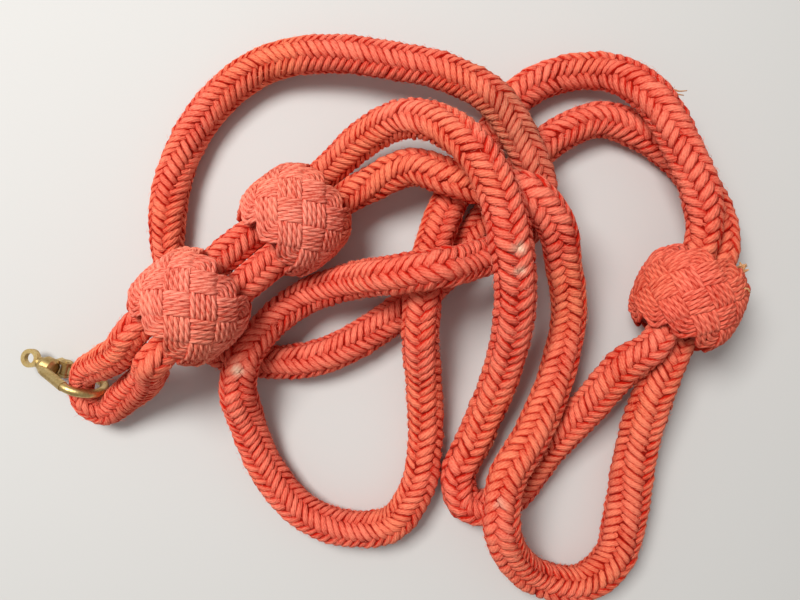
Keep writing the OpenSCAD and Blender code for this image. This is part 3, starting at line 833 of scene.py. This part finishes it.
# Cotton and felt are loose fibre with no shine, mottled and matted at about a millimetre.
def matted_fibre(name, light, dark, clump_mm):
    material = bpy.data.materials.new(name)
    material.use_nodes = True
    tree = material.node_tree
    surface = tree.nodes["Principled BSDF"]
    object_place = add_node(tree, "ShaderNodeTexCoord").outputs["Object"]
    clumps = add_node(
        tree, "ShaderNodeTexNoise",
        {"Vector": object_place, "Scale": 1 / (clump_mm * MM), "Detail": 6.0, "Roughness": 0.7},
    ).outputs["Fac"]
    colour = add_node(
        tree, "ShaderNodeMix", {"Factor": clumps, "A": linear(dark), "B": linear(light)},
        data_type="RGBA",
    ).outputs["Result"]
    tree.links.new(colour, surface.inputs["Base Color"])
    relief = add_node(
        tree, "ShaderNodeBump", {"Height": clumps, "Strength": 0.8, "Distance": CLUMP_DEPTH * MM}
    ).outputs["Normal"]
    tree.links.new(relief, surface.inputs["Normal"])
    surface.inputs["Roughness"].default_value = 0.95
    surface.inputs["Specular IOR Level"].default_value = 0.2
    return material


def finish_nodes(material, *names):
    for name in names:
        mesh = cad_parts[name].data
        mesh.materials.clear()
        mesh.materials.append(material)


cotton_core = matted_fibre("cotton_core", "#f0e4cf", "#d2bd9b", COTTON_CLUMP)
felt_padding = matted_fibre("felt_padding", "#b3493a", "#7d2a20", FELT_CLUMP)
finish_nodes(cotton_core, *[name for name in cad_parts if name.endswith("_core")])
finish_nodes(felt_padding, *[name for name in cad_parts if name.endswith("_mouse")])


# Snap hook: a small cast brass trigger snap, with its gate on a riveted pin and a swivel eye whose
# headed stem turns in the neck. The bight of the cord lies in its bend.
EDGE_R = 0.14
TARNISH = 2.2
PIT = 0.35
PIT_DEPTH = 0.06
SCRATCH = 1.6


# Old brass has dulled to a pale gold, brighter and browner in patches, with fine scratches and
# casting pits that break up the shine.
def worn_metal(name, bright, dull):
    material = bpy.data.materials.new(name)
    material.use_nodes = True
    tree = material.node_tree
    surface = tree.nodes["Principled BSDF"]
    object_place = add_node(tree, "ShaderNodeTexCoord").outputs["Object"]
    tarnish = add_node(
        tree, "ShaderNodeTexNoise",
        {"Vector": object_place, "Scale": 1 / (TARNISH * MM), "Detail": 5.0, "Roughness": 0.65},
    ).outputs["Fac"]
    pits = add_node(
        tree, "ShaderNodeTexNoise", {"Vector": object_place, "Scale": 1 / (PIT * MM), "Detail": 2.0}
    ).outputs["Fac"]
    drawn = add_node(
        tree, "ShaderNodeMapping",
        {"Vector": object_place, "Rotation": (0.4, 0.2, 0.7), "Scale": (9, 1, 1)},
    ).outputs[0]
    scratches = add_node(
        tree, "ShaderNodeTexNoise", {"Vector": drawn, "Scale": 1 / (SCRATCH * MM), "Detail": 3.0}
    ).outputs["Fac"]
    rubbed = add_node(
        tree, "ShaderNodeMapRange", {"Value": tarnish, "From Min": 0.38, "From Max": 0.66}
    ).outputs[0]
    colour = add_node(
        tree, "ShaderNodeMix", {"Factor": rubbed, "A": linear(dull), "B": linear(bright)},
        data_type="RGBA",
    ).outputs["Result"]
    tree.links.new(colour, surface.inputs["Base Color"])
    gloss = add_node(
        tree, "ShaderNodeMapRange",
        {"Value": tarnish, "From Min": 0.35, "From Max": 0.7, "To Min": 0.52, "To Max": 0.3},
    ).outputs[0]
    tree.links.new(gloss, surface.inputs["Roughness"])
    height = add_node(
        tree, "ShaderNodeMath", {0: scratches, 1: 0.6, 2: pits}, operation="MULTIPLY_ADD"
    ).outputs[0]
    relief = add_node(
        tree, "ShaderNodeBump", {"Height": height, "Strength": 0.5, "Distance": PIT_DEPTH * MM}
    ).outputs["Normal"]
    tree.links.new(relief, surface.inputs["Normal"])
    surface.inputs["Metallic"].default_value = 1.0
    return material


cast_brass = worn_metal("cast_brass", "#e3c88c", "#ae8f57")
finish_nodes(cast_brass, "snap_hook", "snap_gate", "gate_rivet", "swivel_eye")
for name in ("snap_hook", "snap_gate", "swivel_eye"):
    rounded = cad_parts[name].modifiers.new("tumbled_edges", "BEVEL")
    rounded.width = EDGE_R * MM
    rounded.segments = 2
    rounded.limit_method = "ANGLE"
    rounded.angle_limit = math.radians(40)

# The spring under the gate is drawn steel wire, wound round the pin: grey and smooth, with fine
# lines from the die.
spring_steel = worn_metal("spring_steel", "#b9bcc0", "#84878c")
finish_nodes(spring_steel, "gate_spring")

# Floor and light: a plain pale board, one large soft lamp from the upper left and even fill.
bpy.ops.mesh.primitive_plane_add(size=3.0, location=(0, 0, 0))
floor = bpy.context.object
floor.name = "floor"
board = bpy.data.materials.new("painted_board")
board.use_nodes = True
board.node_tree.nodes["Principled BSDF"].inputs["Base Color"].default_value = linear("#cbc9c5")
board.node_tree.nodes["Principled BSDF"].inputs["Roughness"].default_value = 0.9
floor.data.materials.append(board)
lamp = bpy.data.lights.new("soft_key", "AREA")
lamp.size = 0.25
lamp.energy = 4.25
key = bpy.data.objects.new("soft_key", lamp)
key.location = (-0.22, 0.22, 0.55)
key.rotation_euler = (-key.location).to_track_quat("-Z", "Y").to_euler()
scene.collection.objects.link(key)
world = bpy.data.worlds.new("even_fill")
world.use_nodes = True
world.node_tree.nodes["Background"].inputs["Color"].default_value = linear("#ffffff")
world.node_tree.nodes["Background"].inputs["Strength"].default_value = 0.36
scene.world = world
